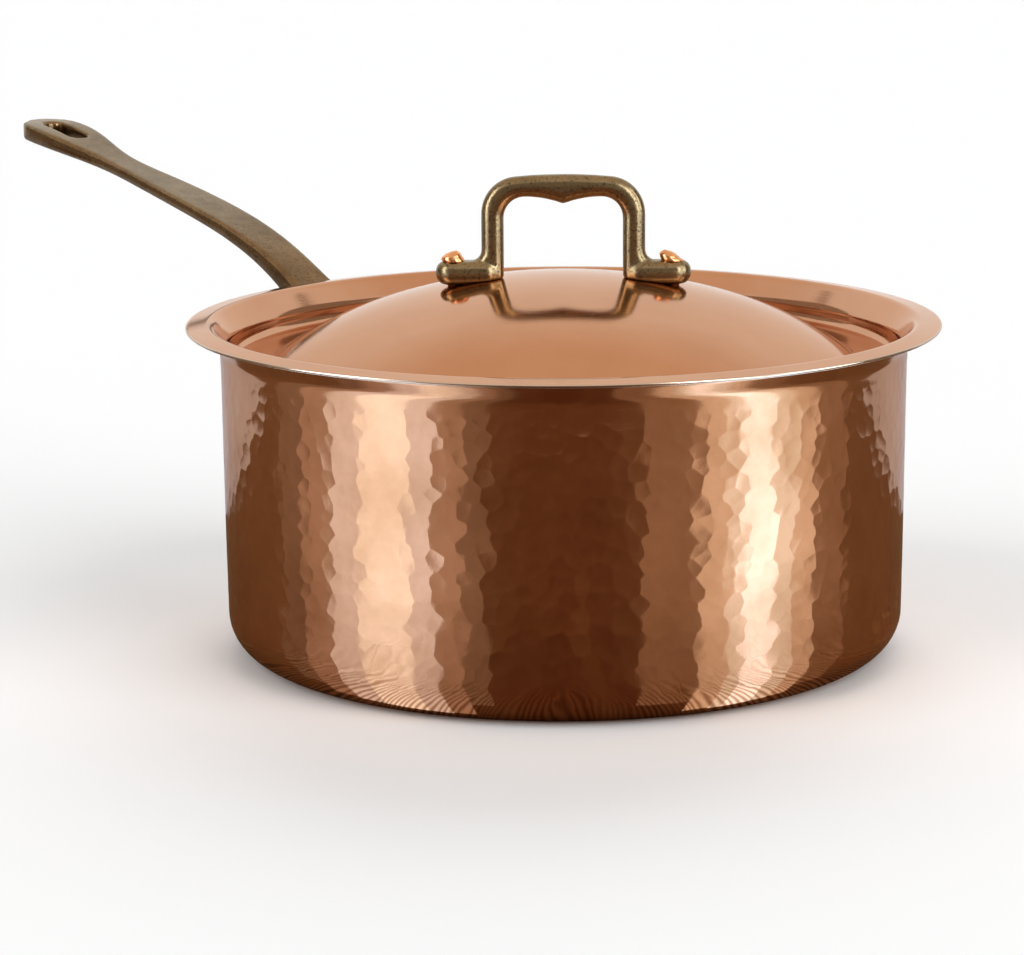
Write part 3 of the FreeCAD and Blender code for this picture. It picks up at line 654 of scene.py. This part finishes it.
def panel_glow(name, colour, strength):
    """A glowing panel's finish. Near the pan the table's grain dims it in lines."""
    material, tree, shine = glow(name, strength)
    grain = place_group(tree, table_grain, Line_width=grain_width)
    near = spread(tree, from_axis(tree), 0.18, 0.128)
    lines = math_node(tree, "MULTIPLY", grain.outputs["Grain"], near)
    dim = (*(part * share for part, share in zip(colour, grain_dim)), 1)
    tree.links.new(mix_colours(tree, lines, colour, dim), shine)
    return material


floor_reach = 12.0
floor = bmesh.new()
bmesh.ops.create_grid(floor, x_segments=1, y_segments=1, size=floor_reach)
stage_piece("floor", floor, stage_material("floor", (0.95, 0.95, 0.95, 1)), mirrored_only=False)

table_back, table_side, table_front, ground_back = -0.205, 1.5, 1.4, -1.5
to_camera = Matrix.Rotation(camera_side, 4, "Z")


def table_top(name, back, front, material):
    """A level board just above the floor, between two distances towards the camera."""
    mesh = bmesh.new()
    bmesh.ops.create_grid(mesh, x_segments=1, y_segments=1, size=0.5)
    bmesh.ops.scale(mesh, vec=(front - back, 2 * table_side, 1), verts=mesh.verts[:])
    bmesh.ops.translate(mesh, vec=((front + back) / 2, 0, 1 * MM), verts=mesh.verts[:])
    bmesh.ops.transform(mesh, matrix=to_camera, verts=mesh.verts[:])
    stage_piece(name, mesh, material)


table_top("table", table_back, table_front, wooden_table())
table_top("table_beyond", ground_back, table_back, stage_material("pale_ground", (0.54, 0.54, 0.60, 1)))

room_radius, room_height, room_side = 1.5, 1.2, 125
room = bmesh.new()
room.verts.new(around(-room_side, room_radius, 2 * MM))
bmesh.ops.spin(room, geom=room.verts[:], cent=(0, 0, 0), axis=(0, 0, 1), angle=math.radians(2 * room_side),
               steps=50)
made = bmesh.ops.extrude_edge_only(room, edges=room.edges[:])
top = [v for v in made["geom"] if isinstance(v, bmesh.types.BMVert)]
bmesh.ops.translate(room, vec=(0, 0, room_height), verts=top)
stage_piece("dark_room", room, stage_material("dark_room", (0.36, 0.29, 0.23, 1)))

# The camera stands so near that its view of the wall turns by this many degrees from the middle to the side.
view_turn = 6.5


def mirrored(side, reach, height):
    """A place that the camera sees mirrored at an angle of the pan's wall, at a distance from the wall."""
    turned_side = 2 * side + view_turn * math.sin(math.radians(side))
    return around(side, pan_radius, height) + around(turned_side, reach, 0)


# Each row of a panel's corners: its distance from the wall and its height. The first lies under the bend.
panel_rows = ((-8 * MM, 0.6 * MM), (8 * MM, 1.5 * MM), (450 * MM, 196 * MM))
layer_slope, layer_gap = 0.04, 0.35 * MM


def bright_panel(name, first, last, colour, strength, layer):
    """A panel that rises away from under the pan's bend, mirrored between two angles of its wall.

    Its layer sets how far it lies above the panels that it covers in part."""
    mesh = bmesh.new()
    bmesh.ops.create_grid(mesh, x_segments=8, y_segments=2, size=0.5)
    for vertex in mesh.verts:
        reach, height = panel_rows[round(2 * vertex.co.y) + 1]
        height = height * (1 + layer_slope * layer) + layer_gap * layer
        vertex.co = mirrored(first + (last - first) * (vertex.co.x + 0.5), reach, height)
    stage_piece(name, mesh, panel_glow(name, colour, strength))


bright_panel("left_haze", -52, -12, (1, 0.70, 0.50, 1), 0.28, 0)
bright_panel("left_flank", -46, -16, (1, 0.74, 0.60, 1), 0.52, 1)
bright_panel("left_panel", -40, -20.5, (0.82, 0.87, 1, 1), 1.35, 2)
bright_panel("left_core", -34, -25, (0.80, 0.90, 1, 1), 2.0, 3)
bright_panel("right_haze", 12, 51, (1, 0.66, 0.45, 1), 0.36, 0)
bright_panel("right_panel", 21.5, 43.5, (1, 0.90, 0.80, 1), 1.0, 1)
bright_panel("right_middle", 26.5, 39, (0.86, 0.95, 1, 1), 1.5, 2)
bright_panel("right_core", 29, 35, (0.66, 0.80, 1, 1), 3.2, 3)

lamp_white = (0.94, 0.98, 1, 1)
lamp_distance, lamp_middle, lamp_rise = 0.36, 0.27, 0.40


def bright_band(name, first, last, strength):
    """A tall lamp around one side, mirrored by the castings above the panels."""
    mesh = bmesh.new()
    bmesh.ops.create_grid(mesh, x_segments=6, y_segments=1, size=0.5)
    for vertex in mesh.verts:
        side = first + (last - first) * (vertex.co.x + 0.5)
        vertex.co = around(side, lamp_distance, lamp_middle + lamp_rise * vertex.co.y)
    stage_piece(name, mesh, panel_glow(name, lamp_white, strength))


bright_band("left_lamp", -73, -50, 5.5)
bright_band("right_lamp", 27, 50, 5.0)
bright_band("far_right_lamp", 64, 82, 4.5)


ceiling_radius, ceiling_height = 2.8, 2.0


def ceiling_glow():
    """Daylight on a ceiling: white at its edges, warmer and dimmer over the pan."""
    material, tree, shine = glow("ceiling", 1.0)
    inner = spread(tree, from_axis(tree), 2.7, 1.2)
    tree.links.new(mix_colours(tree, inner, (1, 1, 1, 1), (0.90, 0.73, 0.57, 1)), shine)
    return material


ceiling = bmesh.new()
bmesh.ops.create_circle(ceiling, cap_ends=True, segments=48, radius=ceiling_radius)
bmesh.ops.translate(ceiling, vec=(0, 0, ceiling_height), verts=ceiling.verts[:])
stage_piece("ceiling", ceiling, ceiling_glow())

sun_width = math.radians(50)
sky_share = 0.34


def soft_sun(name, side, height, share):
    """A wide soft light from an angle to the camera's right and an angle above the floor.

    The three shares and the sky's add up to 1.05, so that a colour looks about as it is written."""
    data = bpy.data.lights.new(name, "SUN")
    data.angle = sun_width
    data.energy = share * math.pi / math.sin(math.radians(height))
    lamp = bpy.data.objects.new(name, data)
    bpy.context.scene.collection.objects.link(lamp)
    lamp.rotation_euler = (0, math.radians(90 - height), camera_side + math.radians(side))
    lamp.visible_glossy = False


soft_sun("back_light", 172, 38, 0.27)
soft_sun("front_right_light", 48, 30, 0.25)
soft_sun("front_left_light", -58, 32, 0.19)

world = bpy.data.worlds.new("surround")
bpy.context.scene.world = world
world.use_nodes = True
tree = world.node_tree
seen = tree.nodes["Background"]
cast = tree.nodes.new("ShaderNodeBackground")
for background, strength in ((seen, 1.0), (cast, sky_share)):
    background.inputs["Color"].default_value = (1, 1, 1, 1)
    background.inputs["Strength"].default_value = strength
either = tree.nodes.new("ShaderNodeMixShader")
tree.links.new(tree.nodes.new("ShaderNodeLightPath").outputs["Is Diffuse Ray"], either.inputs[0])
tree.links.new(seen.outputs[0], either.inputs[1])
tree.links.new(cast.outputs[0], either.inputs[2])
tree.links.new(either.outputs[0], tree.nodes["World Output"].inputs["Surface"])
bpy.context.scene.view_settings.view_transform = "Standard"
